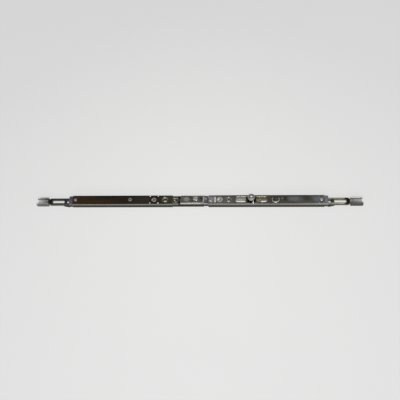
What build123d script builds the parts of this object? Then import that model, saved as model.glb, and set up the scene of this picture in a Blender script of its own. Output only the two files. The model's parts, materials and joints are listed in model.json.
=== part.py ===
"""Window espagnolette, middle length: faceplate rail, drive rod, mushroom cam and rocker lever.

The object lies on its back. X runs along the faceplate, Y across it and Z out of its face.
The origin is the middle of the object, on the plane that its back lies on.
Lengths are millimetres and angles are degrees.
"""

import os
from math import radians, sin

from build123d import *

os.makedirs("parts", exist_ok=True)

# Clearances
run_gap = 0.1  # radial running clearance of a stud in a slot of the rod
seat_gap = 0.02  # radial clearance of a riveted shank in its hole
pin_gap = 0.05  # radial clearance of a piece that turns on a pin
side_gap = 0.25  # clearance between pieces that slide or swing side by side
end_gap = 0.4  # clearance between ends of neighbouring pieces along X
stop_gap = 0.05  # what is left between the rod and its stop at the end of the stroke
overrun = 1.0  # how far a cutting solid runs past the face it cuts

# Travel
stroke = 18.0  # of the drive rod, each way from the middle
press_angle = 3.0  # of the rocker lever, from raised to pressed

# Faceplates, a rolled channel open at the back, with a small step along each side
plate_length = 397.0  # over both faceplates
plate_width = 16.0
plate_top = 11.0  # the face, above the back of the rail
web = 2.4  # thickness of the channel's web
lip_depth = 4.2  # from the face to the step
side_wall = 1.6
skirt_inset = 0.2  # of the side below the step
skirt_lift = 0.3  # of the side's lower edge above the back
plate_round = 1.0  # outer rounding along the face
left_plate_end = -38.0  # where the left faceplate stops at the bridge

# Stations along X of what passes through the faceplates
end_rivet_inset = 4.8  # from each end of the faceplates
index_mark_x = -105.7
left_rivet_x = -67.4
screw_pitch = 100.0  # between the two fixing screw holes, even about the middle
middle_rivet_inset = 4.3  # this and the next two from the right faceplate's inner end
rib_inset = 10.6
plug_inset = 17.8
cam_x = 85.4
guide_screw_x = 123.2

# Fixing screw holes for 5 mm countersunk screws
screw_hole_radius = 3.0
screw_sink_radius = 4.8
screw_sink_angle = 90.0
screw_relief_radius = 4.4  # in the housing's back plate

# Rivets: head in the faceplate, shank through it, shoulder in the rod's slot, tail in the back
rivet_head_radius = 3.8
rivet_shank_radius = 1.8
rivet_tail_radius = 1.6
rivet_head_rise = 0.3  # of the head over the face
rivet_head_edge = 0.5  # width of its bevelled rim
rivet_dish_radius = 1.5  # shallow dish in the head that the tool leaves
rivet_dish_depth = 0.4
rivet_cross_length = 5.6  # of the crossed strokes in the two guide rivets' heads
rivet_cross_width = 0.8
rivet_cross_depth = 0.3
end_rivet_head_radius = 2.6
rivet_sink_depth = 1.1
tail_head_radius = 2.6
tail_sink_depth = 0.9

# Raised pips round the rivets
stake_radius = 0.9
stake_tip_radius = 0.4
stake_height = 0.35
stake_reach_x = 6.3
stake_reach_y = 6.2
end_stake_reach_x = 3.2
end_stake_reach_y = 5.4
index_mark_radius = 2.6
index_mark_wall = 0.8
index_mark_height = 0.3
rib_width = 2.2
rib_length = 9.0
rib_height = 0.4
rib_edge = 0.25

# Drive rod
rod_width = 11.4
rod_thickness = 4.0
rod_under_gap = 0.2  # between the rod and what it slides on
back_plate = 1.7  # thickness of every piece that lies under the rod
guide_slot = 5.6  # width of the rod's guide slots
end_slot = 5.8  # width of the long slot at each end
end_slot_corner = 1.5
rod_end_web = 4.8  # metal left outside the end slot
rod_corner = 3.0
cam_land_before = 9.0  # solid metal of the rod on each side of the cam pin
cam_land_after = 14.3

# End guides and the slide blocks they carry
guide_nose = 5.8  # how far the end wall stands out of the faceplates
guide_root = 14.0  # how far the guide reaches in under the faceplates
guide_side_inset = 1.0  # how much narrower the end wall is than the faceplates
guide_top_inset = 0.8  # how much lower its top is than the face
guide_foot_inset = 0.2  # how much narrower its foot is than the faceplates
guide_bar = 4.0  # width along X of the cross bar that carries the slide block
block_gap = 3.1  # between the end wall and the slide block
block_length = 6.8
block_rise = 1.0  # how far the slide block stands above the rod
block_slant_outer = 1.8  # of the right block's ends
block_slant_inner = 2.4
block_lean = 3.0  # of the left block's ends, both the same way
block_chamfer = 0.3

# Coupling claws
claw_gap = 0.8  # between the rod's full width and the claw
claw_length = 18.9
claw_nose = 0.8  # how much further the near wall reaches
claw_width = 11.8
claw_wall = 2.3
claw_top = 8.5
claw_lift = 0.1  # under the claw, so that it clears what it lies on
claw_round = 1.8
tongue_fit = 0.1
tongue_length = 7.4
tooth_pitch = 1.7
tooth_height = 0.6
claw_rivet_radius = 1.1
claw_rivet_head_radius = 1.7
claw_rivet_head_height = 0.7
claw_rivet_spread = 1.8  # of the two rivets of a claw, from the middle line

# Mushroom cam
cam_slot_width = 9.6
cam_slot_margin = 2.4  # of the slot past the slider at the end of the stroke
cam_slot_chamfer = 0.4
cam_height = 8.0  # above the face
cam_pin_radius = 2.5
cam_pin_head_radius = 3.3
cam_pin_head_height = 0.9
cam_pin_tail_radius = 3.6
cam_pin_tail_height = 0.8
flange_radius = 7.2
flange_thickness = 1.7
flange_round = 0.5
face_gap = 0.2  # between the flange and the faceplate
roller_gap = 0.1  # between the flange and the roller
roller_neck_radius = 4.0
roller_neck_height = 1.9
roller_head_radius = 5.7
roller_cone_height = 1.0
roller_crown = 1.0  # height of the rounding over the rim

# Guide screw and the shoe it holds
guide_screw_head_radius = 6.2
guide_screw_head_height = 0.9  # over the face
guide_screw_edge = 0.75  # height of the bevelled rim
guide_screw_slope = 1.1  # width of the bevel
guide_screw_rim = 2.0  # width of the rim round the dish, with its bevel
guide_screw_dish_slope = 0.8
guide_screw_dish_depth = 0.4
cross_length = 5.0
cross_width = 0.9
cross_depth = 0.7
cross_turn = 45.0
shoe_length = 18.0
shoe_width = 11.8

# Centring plug
plug_radius = 4.7
plug_seat_depth = 1.2
plug_neck_radius = 3.4
plug_dome = 0.4

# Lever housing
housing_width = 11.8
housing_left_margin = 7.2  # of the back plate past its outer rivets
housing_right_margin = 6.7
bridge_length = 9.5
bridge_wall = 1.0  # beside the rod and its side clearance
bridge_drop = 1.0  # of the bridge's top below the face
bridge_step_length = 2.8  # of the step between the bridge and the lever, with a wall on each side
bridge_step_drop = 1.1  # of the step's floor below the bridge's top
bridge_over_gap = 0.3  # between the rod and what spans it
rail_top = 4.9  # of the low side rails between the bridge and the saddle
rail_notch = 3.2
rail_notch_shares = (0.16, 0.52)
saddle_length = 9.0  # of the plate over the rod that carries the ears
saddle_thickness = 0.8
ear_wall = 1.2
ear_length = 5.0
ear_over_gap = 0.35  # between the ears and the lever over them

# Rocker lever, an inverted U
rocker_length = 43.3
rocker_width = 13.9
rocker_raise = 1.0  # of its top above the face
rocker_sheet = 1.0
rocker_cheek = 1.2
rocker_cheek_depth = 4.4
rocker_slope_inset = 34.7  # from the lever's left end, like the other insets
rocker_tail_drop = 1.1  # of the tail's end below the face
rocker_round = 1.0
rocker_pivot_inset = 31.7
rocker_pin_radius = 1.0
rocker_pin_drop = 3.5  # of the pin's axis below the lever's top
pad_inset = 8.7
pad_length = 8.0
pad_width = 7.0
pad_height = 0.6
pad_corner = 2.3
pad_round = 0.4
window_inset = 15.7
window_length = 4.6
window_width = 3.6
window_depth = 0.6
window_y = 2.3
boss_inset = 24.8
boss_radius = 5.6
boss_height = 0.4
peg_radius = 1.6
peg_head_radius = 2.3
peg_head_height = 0.6
peg_y = -0.6

# Leaf spring
spring_width = 4.0
spring_sheet = 0.4
spring_pocket_width = 5.0
spring_pocket_depth = 0.9
spring_pocket_inset = 1.0
spring_bend_gap = 1.2
spring_reach = 16.9  # past the bridge
spring_tip_length = 3.0
spring_tip_drop = 0.8
spring_rivet_radius = 0.8
spring_rivet_head_radius = 1.4
spring_rivet_head_height = 0.4
spring_rivet_inset = 3.0

# Levels above the back
rod_bottom = back_plate + rod_under_gap
rod_top = rod_bottom + rod_thickness
web_bottom = plate_top - web
half_length = plate_length / 2

# Places that follow from the sizes above
end_rivet_x = half_length - end_rivet_inset
screw_xs = (-screw_pitch / 2, screw_pitch / 2)
stud_radius = guide_slot / 2 - run_gap
end_stud_radius = end_slot / 2 - run_gap
guide_reach = stroke + guide_slot / 2 + stop_gap
block_outer = half_length + guide_nose + block_gap + block_length
end_slot_outer = block_outer + stroke + stop_gap
end_slot_inner = end_rivet_x - end_stud_radius - stroke - stop_gap
rod_half = end_slot_outer + rod_end_web
claw_start = rod_half + claw_gap
claw_inner_width = claw_width - 2 * claw_wall
bridge_start = left_plate_end
bridge_end = bridge_start + bridge_length
bridge_top = plate_top - bridge_drop
passage_half = rod_width / 2 + side_gap
passage_top = rod_top + bridge_over_gap
bridge_width = 2 * (passage_half + bridge_wall)
rocker_start = bridge_end + bridge_step_length + end_gap
rocker_end = rocker_start + rocker_length
rocker_slope_x = rocker_start + rocker_slope_inset
rocker_pivot_x = rocker_start + rocker_pivot_inset
pad_x = rocker_start + pad_inset
window_x = rocker_start + window_inset
boss_x = rocker_start + boss_inset
spring_tip_x = bridge_end + spring_reach
right_plate_start = rocker_end + end_gap
middle_rivet_x = right_plate_start + middle_rivet_inset
rib_x = right_plate_start + rib_inset
plug_x = right_plate_start + plug_inset
saddle_start = rocker_pivot_x - saddle_length / 2
saddle_end = rocker_pivot_x + saddle_length / 2
rocker_top = plate_top + rocker_raise
rocker_under = rocker_top - rocker_sheet
rocker_bottom = rocker_top - rocker_cheek_depth
rocker_tail_top = plate_top - rocker_tail_drop
rocker_inner = rocker_width / 2 - rocker_cheek
rocker_pin_z = rocker_top - rocker_pin_drop
slot_a = (left_rivet_x - guide_reach, screw_xs[0] + guide_reach)
slot_b = (middle_rivet_x - guide_reach, cam_x - cam_land_before)
slot_c = (cam_x + cam_land_after, guide_screw_x + guide_reach)
cam_slot_length = 2 * (stroke + cam_slot_width / 2 + cam_slot_margin)
flange_bottom = plate_top + face_gap
flange_top = flange_bottom + flange_thickness
roller_bottom = flange_top + roller_gap
cam_top = plate_top + cam_height
housing_start = left_rivet_x - housing_left_margin
housing_end = middle_rivet_x + housing_right_margin


def upright_plane(x, y=0.0):
    """A plane that stands on the back, across the rail's middle line, with its origin at x."""
    return Plane(origin=(x, y, 0), x_dir=(1, 0, 0), z_dir=(0, -1, 0))


def upright_axis(x, y=0.0):
    """The axis along Z through a station of the rail."""
    return Axis((x, y, 0), (0, 0, 1))


def turn(x, points, y=0.0, mode=Mode.ADD):
    """Revolve an outline of radius and level points about the upright axis at a station."""
    with BuildSketch(upright_plane(x, y)) as outline:
        Polygon(*points, align=None)
    revolve(outline.sketch, axis=upright_axis(x, y), mode=mode)


def channel_section(section):
    """Draw the faceplate's section: a web with a stepped side wall at each edge."""
    with Locations((0, plate_top - lip_depth / 2)):
        Rectangle(plate_width, lip_depth)
    fillet(section.vertices().group_by(Axis.Z)[-1], radius=plate_round)
    with Locations((0, (plate_top + skirt_lift) / 2 - plate_round)):
        Rectangle(plate_width - 2 * skirt_inset, plate_top - skirt_lift - 2 * plate_round)
    with Locations((0, web_bottom / 2)):
        Rectangle(plate_width - 2 * side_wall, web_bottom, mode=Mode.SUBTRACT)


def rivet_seat(x, head_radius):
    """Cut a countersunk rivet seat through the faceplate at a station."""
    with Locations((x, 0, plate_top)):
        Hole(radius=rivet_shank_radius + seat_gap)
    turn(x, mode=Mode.SUBTRACT, points=[
        (0, plate_top + overrun),
        (head_radius, plate_top + overrun),
        (head_radius, plate_top),
        (rivet_shank_radius + seat_gap, plate_top - rivet_sink_depth),
        (0, plate_top - rivet_sink_depth),
    ])


def stake_pips(x, reach_x, reach_y):
    """Raise four conical pips on the face, round a rivet."""
    with Locations((x, 0, plate_top)):
        with GridLocations(2 * reach_x, 2 * reach_y, 2, 2):
            Cone(
                bottom_radius=stake_radius,
                top_radius=stake_tip_radius,
                height=stake_height,
                align=(Align.CENTER, Align.CENTER, Align.MIN),
            )


def fixing_hole(x):
    """Cut a countersunk fixing screw hole through the faceplate."""
    with Locations((x, 0, plate_top)):
        CounterSinkHole(screw_hole_radius, screw_sink_radius, counter_sink_angle=screw_sink_angle)


def stepped_rivet(x, head_radius, shoulder_radius, back_level):
    """Turn a rivet: flared head, shank, shoulder that spaces the faceplate, and flared tail."""
    turn(x, points=[
        (0, 0),
        (tail_head_radius, 0),
        (rivet_tail_radius, tail_sink_depth),
        (rivet_tail_radius, back_level),
        (shoulder_radius, back_level),
        (shoulder_radius, web_bottom),
        (rivet_shank_radius, web_bottom),
        (rivet_shank_radius, plate_top - rivet_sink_depth),
        (head_radius - seat_gap, plate_top),
        (head_radius - rivet_head_edge, plate_top + rivet_head_rise),
        (rivet_dish_radius, plate_top + rivet_head_rise),
        (0, plate_top + rivet_head_rise - rivet_dish_depth),
    ])


def tail_seat(x):
    """Cut the seat of a rivet's tail through a piece that lies under the rod."""
    turn(x, mode=Mode.SUBTRACT, points=[
        (0, -overrun),
        (tail_head_radius + seat_gap, -overrun),
        (tail_head_radius + seat_gap, 0),
        (rivet_tail_radius + seat_gap, tail_sink_depth),
        (rivet_tail_radius + seat_gap, back_plate + overrun),
        (0, back_plate + overrun),
    ])


# Left faceplate
with BuildPart() as faceplate_left:
    with BuildSketch(Plane.YZ.offset(-half_length)) as section:
        channel_section(section)
    extrude(amount=half_length + left_plate_end)
    rivet_seat(-end_rivet_x, end_rivet_head_radius)
    rivet_seat(left_rivet_x, rivet_head_radius)
    fixing_hole(screw_xs[0])
    stake_pips(-end_rivet_x, end_stake_reach_x, end_stake_reach_y)
    stake_pips(left_rivet_x, stake_reach_x, stake_reach_y)
    with BuildSketch(Plane.XY.offset(plate_top)):
        with Locations((index_mark_x, 0)):
            Circle(index_mark_radius)
            Circle(index_mark_radius - index_mark_wall, mode=Mode.SUBTRACT)
    extrude(amount=index_mark_height)
faceplate_left.part.label = "faceplate_left"
export_step(faceplate_left.part, "parts/faceplate_left.step")

# Right faceplate, with the cam slot
with BuildPart() as faceplate_right:
    with BuildSketch(Plane.YZ.offset(right_plate_start)) as section:
        channel_section(section)
    extrude(amount=half_length - right_plate_start)
    rivet_seat(end_rivet_x, end_rivet_head_radius)
    rivet_seat(middle_rivet_x, rivet_head_radius)
    fixing_hole(screw_xs[1])
    stake_pips(end_rivet_x, end_stake_reach_x, end_stake_reach_y)
    with Locations((plug_x, 0, plate_top)):
        CounterBoreHole(plug_neck_radius, plug_radius, plug_seat_depth)
    with BuildSketch(Plane.XY.offset(plate_top)):
        with Locations((rib_x, 0)):
            Rectangle(rib_width, rib_length)
    extrude(amount=rib_height)
    chamfer(faceplate_right.faces().sort_by(Axis.Z)[-1].edges(), length=rib_edge)
    with BuildSketch(Plane.XY.offset(plate_top)):
        with Locations((cam_x, 0)):
            SlotOverall(cam_slot_length, cam_slot_width)
    extrude(amount=-web - overrun, mode=Mode.SUBTRACT)
    rim = faceplate_right.edges().filter_by_position(Axis.Z, plate_top, plate_top).filter_by_position(
        Axis.X, cam_x - cam_slot_length / 2, cam_x + cam_slot_length / 2
    )
    chamfer(rim, length=cam_slot_chamfer)
    with Locations((guide_screw_x, 0, plate_top)):
        Hole(radius=rivet_shank_radius + seat_gap, depth=web + overrun)
faceplate_right.part.label = "faceplate_right"
export_step(faceplate_right.part, "parts/faceplate_right.step")

# Lever housing: back plate, bridge and saddle over the rod, low side rails and the ears
with BuildPart() as lever_housing:
    with BuildSketch():
        with Locations(((housing_start + housing_end) / 2, 0)):
            SlotOverall(housing_end - housing_start, housing_width)
    extrude(amount=back_plate)
    with BuildSketch(Plane.XY.offset(skirt_lift)):
        with Locations(((bridge_start + bridge_end) / 2, 0)):
            Rectangle(bridge_length, bridge_width)
    extrude(amount=bridge_top - skirt_lift)
    with BuildSketch(Plane.XY.offset(skirt_lift)):
        with Locations((bridge_end + bridge_step_length / 2, 0)):
            Rectangle(bridge_step_length, bridge_width)
    extrude(amount=bridge_top - skirt_lift)
    with BuildSketch(Plane.XY.offset(skirt_lift)):
        with Locations((rocker_pivot_x, 0)):
            Rectangle(saddle_length, bridge_width)
    extrude(amount=passage_top + saddle_thickness - skirt_lift)
    with BuildSketch(Plane.XY.offset(back_plate)):
        with Locations(((bridge_start + saddle_end) / 2, 0)):
            Rectangle(saddle_end - bridge_start + 2 * overrun, 2 * passage_half)
    extrude(amount=passage_top - back_plate, mode=Mode.SUBTRACT)
    with BuildSketch(Plane.XY.offset(bridge_top)):
        with Locations((bridge_end + bridge_step_length / 2, 0)):
            Rectangle(bridge_step_length, 2 * passage_half)
    extrude(amount=-bridge_step_drop, mode=Mode.SUBTRACT)
    rail_start = bridge_end + bridge_step_length
    rail_length = saddle_start - rail_start
    rail_y = (bridge_width / 2 + passage_half) / 2
    with BuildSketch(Plane.XY.offset(skirt_lift)):
        with Locations(((saddle_start + rail_start) / 2, 0)):
            Rectangle(rail_length, bridge_width)
    extrude(amount=back_plate - skirt_lift)
    for side in (-1, 1):
        with BuildSketch(Plane.XY.offset(back_plate)):
            with Locations(((saddle_start + rail_start) / 2, side * rail_y)):
                Rectangle(rail_length, bridge_wall)
            for share in rail_notch_shares:
                with Locations((rail_start + share * rail_length, side * rail_y)):
                    Rectangle(rail_notch, bridge_wall, mode=Mode.SUBTRACT)
        extrude(amount=rail_top - back_plate)
        with BuildSketch(Plane.XY.offset(passage_top)):
            with Locations((rocker_pivot_x, side * (rocker_inner - side_gap - ear_wall / 2))):
                Rectangle(ear_length, ear_wall)
        extrude(amount=rocker_under - ear_over_gap - passage_top)
    pocket_start = bridge_start + spring_pocket_inset
    with BuildSketch(Plane.XY.offset(bridge_top)):
        with Locations(((pocket_start + bridge_end + overrun) / 2, 0)):
            Rectangle(bridge_end + overrun - pocket_start, spring_pocket_width)
    extrude(amount=-spring_pocket_depth, mode=Mode.SUBTRACT)
    with Locations((bridge_start + spring_rivet_inset, 0, bridge_top)):
        Hole(radius=spring_rivet_radius + seat_gap, depth=bridge_top - rod_top)
    with BuildSketch(upright_plane(rocker_pivot_x)):
        with Locations((0, rocker_pin_z)):
            Circle(rocker_pin_radius + seat_gap)
    extrude(amount=bridge_width, both=True, mode=Mode.SUBTRACT)
    for station in (left_rivet_x, middle_rivet_x):
        tail_seat(station)
    with Locations((screw_xs[0], 0, back_plate)):
        Hole(radius=screw_relief_radius)
lever_housing.part.label = "lever_housing"
export_step(lever_housing.part, "parts/lever_housing.step")

# End guides and slide blocks, one of each at either end
wall_half = plate_width / 2 - guide_side_inset
foot_half = plate_width / 2 - guide_foot_inset
guide_start = half_length - guide_root
wall_end = half_length + guide_nose
block_start = block_outer - block_length
block_half = end_slot / 2 - run_gap
block_corner = end_slot_corner - side_gap

for name, side, far_inset, near_inset, near_slant in (
    ("left", -1, block_lean, 0, block_lean),
    ("right", 1, 0, block_slant_inner, block_slant_outer),
):
    with BuildPart() as end_guide:
        with BuildSketch():
            with Locations((side * (guide_start + block_outer) / 2, 0)):
                Rectangle(block_outer - guide_start, rod_width)
            with BuildLine():
                Polyline(
                    (side * wall_end, foot_half),
                    (side * block_outer, rod_width / 2),
                    (side * block_outer, -rod_width / 2),
                    (side * wall_end, -foot_half),
                    close=True,
                )
            make_face()
            with Locations((side * (wall_end + block_outer - guide_bar) / 2, 0)):
                Rectangle(block_outer - guide_bar - wall_end, end_slot, mode=Mode.SUBTRACT)
        extrude(amount=back_plate)
        with BuildSketch(Plane.YZ.offset(side * half_length)):
            with Locations((0, (plate_top - guide_top_inset + skirt_lift) / 2)):
                Rectangle(2 * wall_half, plate_top - guide_top_inset - skirt_lift)
            with Locations((0, (back_plate + passage_top) / 2)):
                Rectangle(2 * passage_half, passage_top - back_plate, mode=Mode.SUBTRACT)
        extrude(amount=side * guide_nose)
        outer = end_guide.edges().filter_by(Axis.Y).group_by(Axis.Z)[-1].sort_by(Axis.X)
        fillet(outer[0] if side < 0 else outer[-1], radius=guide_top_inset)
        tail_seat(side * end_rivet_x)
    end_guide.part.label = "end_guide_" + name
    export_step(end_guide.part, f"parts/end_guide_{name}.step")

    with BuildPart() as slide_block:
        with BuildSketch(Plane.XY.offset(back_plate)):
            with BuildLine():
                Polyline(
                    (side * (block_start + far_inset), block_half),
                    (side * block_outer, block_half),
                    (side * (block_outer - near_slant), -block_half),
                    (side * (block_start + near_inset), -block_half),
                    close=True,
                )
            make_face()
        extrude(amount=rod_top + block_rise - back_plate)
        fillet(slide_block.edges().filter_by(Axis.Z), radius=block_corner)
        chamfer(slide_block.faces().sort_by(Axis.Z)[-1].edges(), length=block_chamfer)
    slide_block.part.label = "slide_block_" + name
    export_step(slide_block.part, f"parts/slide_block_{name}.step")

    with BuildPart() as end_rivet:
        stepped_rivet(side * end_rivet_x, end_rivet_head_radius, end_stud_radius, back_plate)
    end_rivet.part.label = "end_rivet_" + name
    export_step(end_rivet.part, f"parts/end_rivet_{name}.step")

# Rivets that join the faceplates to the lever housing
for name, station in (("left", left_rivet_x), ("middle", middle_rivet_x)):
    with BuildPart() as guide_rivet:
        stepped_rivet(station, rivet_head_radius, stud_radius, back_plate)
        with BuildSketch(Plane.XY.offset(plate_top + rivet_head_rise)):
            with Locations((station, 0)):
                with PolarLocations(0, 2, angular_range=180):
                    Rectangle(rivet_cross_length, rivet_cross_width, rotation=cross_turn)
        extrude(amount=-rivet_cross_depth, mode=Mode.SUBTRACT)
    guide_rivet.part.label = "guide_rivet_" + name
    export_step(guide_rivet.part, f"parts/guide_rivet_{name}.step")

# Guide screw with its cross recess
screw_rim_top = plate_top + guide_screw_head_height
screw_dish_level = screw_rim_top - guide_screw_dish_depth
screw_dish_radius = guide_screw_head_radius - guide_screw_rim
with BuildPart() as guide_screw:
    turn(guide_screw_x, points=[
        (0, 0),
        (tail_head_radius, 0),
        (rivet_tail_radius, tail_sink_depth),
        (rivet_tail_radius, back_plate),
        (stud_radius, back_plate),
        (stud_radius, web_bottom),
        (rivet_shank_radius, web_bottom),
        (rivet_shank_radius, plate_top),
        (guide_screw_head_radius, plate_top),
        (guide_screw_head_radius, screw_rim_top - guide_screw_edge),
        (guide_screw_head_radius - guide_screw_slope, screw_rim_top),
        (screw_dish_radius, screw_rim_top),
        (screw_dish_radius - guide_screw_dish_slope, screw_dish_level),
        (0, screw_dish_level),
    ])
    with BuildSketch(Plane.XY.offset(screw_dish_level)):
        with Locations((guide_screw_x, 0)):
            with PolarLocations(0, 2, angular_range=180):
                Rectangle(cross_length, cross_width, rotation=cross_turn)
    extrude(amount=-cross_depth, mode=Mode.SUBTRACT)
guide_screw.part.label = "guide_screw"
export_step(guide_screw.part, "parts/guide_screw.step")

# Guide shoe under the rod
with BuildPart() as guide_shoe:
    with BuildSketch():
        with Locations((guide_screw_x, 0)):
            SlotOverall(shoe_length, shoe_width)
    extrude(amount=back_plate)
    tail_seat(guide_screw_x)
guide_shoe.part.label = "guide_shoe"
export_step(guide_shoe.part, "parts/guide_shoe.step")

# Centring plug, a domed disc that sits in the right faceplate
with BuildPart() as centring_plug:
    turn(plug_x, points=[
        (0, web_bottom),
        (plug_neck_radius - seat_gap, web_bottom),
        (plug_neck_radius - seat_gap, plate_top - plug_seat_depth),
        (plug_radius - seat_gap, plate_top - plug_seat_depth),
        (plug_radius - seat_gap, plate_top),
        (plug_radius / 2, plate_top + plug_dome),
        (0, plate_top + plug_dome),
    ])
centring_plug.part.label = "centring_plug"
export_step(centring_plug.part, "parts/centring_plug.step")

# Rocker pin, across the housing's ears
pin_half = rocker_width / 2
with BuildPart() as rocker_pin:
    with BuildSketch(upright_plane(rocker_pivot_x)):
        with Locations((0, rocker_pin_z)):
            Circle(rocker_pin_radius)
    extrude(amount=pin_half, both=True)
rocker_pin.part.label = "rocker_pin"
export_step(rocker_pin.part, "parts/rocker_pin.step")

# Rocker lever: cheeks, sloping tail, contact pad, window and boss
with BuildPart() as rocker_lever:
    with BuildSketch(upright_plane(0)):
        with BuildLine():
            Polyline(
                (rocker_start, rocker_bottom),
                (rocker_start, rocker_top),
                (rocker_slope_x, rocker_top),
                (rocker_end, rocker_tail_top),
                (rocker_end, rocker_bottom),
                close=True,
            )
        make_face()
    extrude(amount=rocker_width / 2, both=True)
    lever_top = rocker_lever.faces().filter_by(Axis.Z).sort_by(Axis.Z)[-1]
    fillet(lever_top.edges().filter_by(Axis.X), radius=rocker_round)
    with BuildSketch(upright_plane(0)):
        with BuildLine():
            Polyline(
                (rocker_start - overrun, rocker_bottom - overrun),
                (rocker_start - overrun, rocker_under),
                (rocker_slope_x, rocker_under),
                (rocker_end, rocker_tail_top - rocker_sheet),
                (rocker_end + overrun, rocker_tail_top - rocker_sheet),
                (rocker_end + overrun, rocker_bottom - overrun),
                close=True,
            )
        make_face()
    extrude(amount=rocker_inner, both=True, mode=Mode.SUBTRACT)
    with BuildSketch(Plane.XY.offset(rocker_top)):
        with Locations((pad_x, 0)):
            RectangleRounded(pad_length, pad_width, pad_corner)
    extrude(amount=pad_height)
    fillet(rocker_lever.faces().sort_by(Axis.Z)[-1].edges(), radius=pad_round)
    with BuildSketch(Plane.XY.offset(rocker_top)):
        with Locations((boss_x, 0)):
            Circle(boss_radius)
    extrude(amount=boss_height)
    with BuildSketch(Plane.XY.offset(rocker_top)):
        with Locations((window_x, window_y)):
            Rectangle(window_length, window_width)
    extrude(amount=-window_depth, mode=Mode.SUBTRACT)
    with BuildSketch(Plane.XY.offset(rocker_top + boss_height)):
        with Locations((boss_x, peg_y)):
            Circle(peg_radius + seat_gap)
    extrude(amount=-rocker_sheet - boss_height, mode=Mode.SUBTRACT)
    with BuildSketch(upright_plane(rocker_pivot_x)):
        with Locations((0, rocker_pin_z)):
            Circle(rocker_pin_radius + pin_gap)
    extrude(amount=rocker_width, both=True, mode=Mode.SUBTRACT)
rocker_lever.part.label = "rocker_lever"
export_step(rocker_lever.part, "parts/rocker_lever.step")

# Rocker peg, riveted into the lever's boss and clear of the rod when the lever is pressed
boss_top = rocker_top + boss_height
peg_swing = (rocker_pivot_x - boss_x + peg_radius) * sin(radians(press_angle))
peg_bottom = passage_top + peg_swing + side_gap
with BuildPart() as rocker_peg:
    turn(boss_x, y=peg_y, points=[
        (0, peg_bottom),
        (peg_radius, peg_bottom),
        (peg_radius, boss_top),
        (peg_head_radius, boss_top),
        (peg_radius, boss_top + peg_head_height),
        (0, boss_top + peg_head_height),
    ])
rocker_peg.part.label = "rocker_peg"
export_step(rocker_peg.part, "parts/rocker_peg.step")

# Leaf spring, flat in the bridge's pocket and then rising to the lever
spring_level = bridge_top - spring_pocket_depth
spring_start = pocket_start + side_gap
with BuildPart() as leaf_spring:
    with BuildSketch(upright_plane(0)):
        with BuildLine():
            Polyline(
                (spring_start, spring_level),
                (bridge_end + spring_bend_gap, spring_level),
                (spring_tip_x, rocker_under - spring_sheet - stop_gap),
                (spring_tip_x + spring_tip_length, rocker_under - spring_sheet - spring_tip_drop),
            )
            offset(amount=spring_sheet, side=Side.LEFT)
        make_face()
    extrude(amount=spring_width / 2, both=True)
    with Locations((bridge_start + spring_rivet_inset, 0, bridge_top)):
        Hole(radius=spring_rivet_radius + seat_gap, depth=spring_pocket_depth)
leaf_spring.part.label = "leaf_spring"
export_step(leaf_spring.part, "parts/leaf_spring.step")

# Spring rivet
with BuildPart() as spring_rivet:
    rivet_x = bridge_start + spring_rivet_inset
    head_level = spring_level + spring_sheet
    turn(rivet_x, points=[
        (0, passage_top),
        (spring_rivet_radius, passage_top),
        (spring_rivet_radius, head_level),
        (spring_rivet_head_radius, head_level),
        (spring_rivet_radius, head_level + spring_rivet_head_height),
        (0, head_level + spring_rivet_head_height),
    ])
spring_rivet.part.label = "spring_rivet"
export_step(spring_rivet.part, "parts/spring_rivet.step")

# Drive rod: slotted for the studs and the slide blocks, with a tongue at each end
tongue_width = claw_inner_width - 2 * tongue_fit
tongue_end = claw_start + tongue_length
claw_rivet_x = claw_start + tongue_length / 2
with BuildPart() as drive_rod:
    with BuildSketch(Plane.XY.offset(rod_bottom)):
        RectangleRounded(2 * rod_half, rod_width, rod_corner)
        Rectangle(2 * tongue_end, tongue_width)
        for side in (-1, 1):
            with Locations((side * (end_slot_inner + end_slot_outer) / 2, 0)):
                RectangleRounded(
                    end_slot_outer - end_slot_inner, end_slot, end_slot_corner, mode=Mode.SUBTRACT
                )
            for rivet_y in (-claw_rivet_spread, claw_rivet_spread):
                with Locations((side * claw_rivet_x, rivet_y)):
                    Circle(claw_rivet_radius + seat_gap, mode=Mode.SUBTRACT)
        for slot_start, slot_stop in (slot_a, slot_b, slot_c):
            with Locations(((slot_start + slot_stop) / 2, 0)):
                SlotOverall(slot_stop - slot_start, guide_slot, mode=Mode.SUBTRACT)
        with Locations((cam_x, 0)):
            Circle(cam_pin_radius + seat_gap, mode=Mode.SUBTRACT)
    extrude(amount=rod_thickness)
drive_rod.part.label = "drive_rod"
export_step(drive_rod.part, "parts/drive_rod.step")

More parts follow.
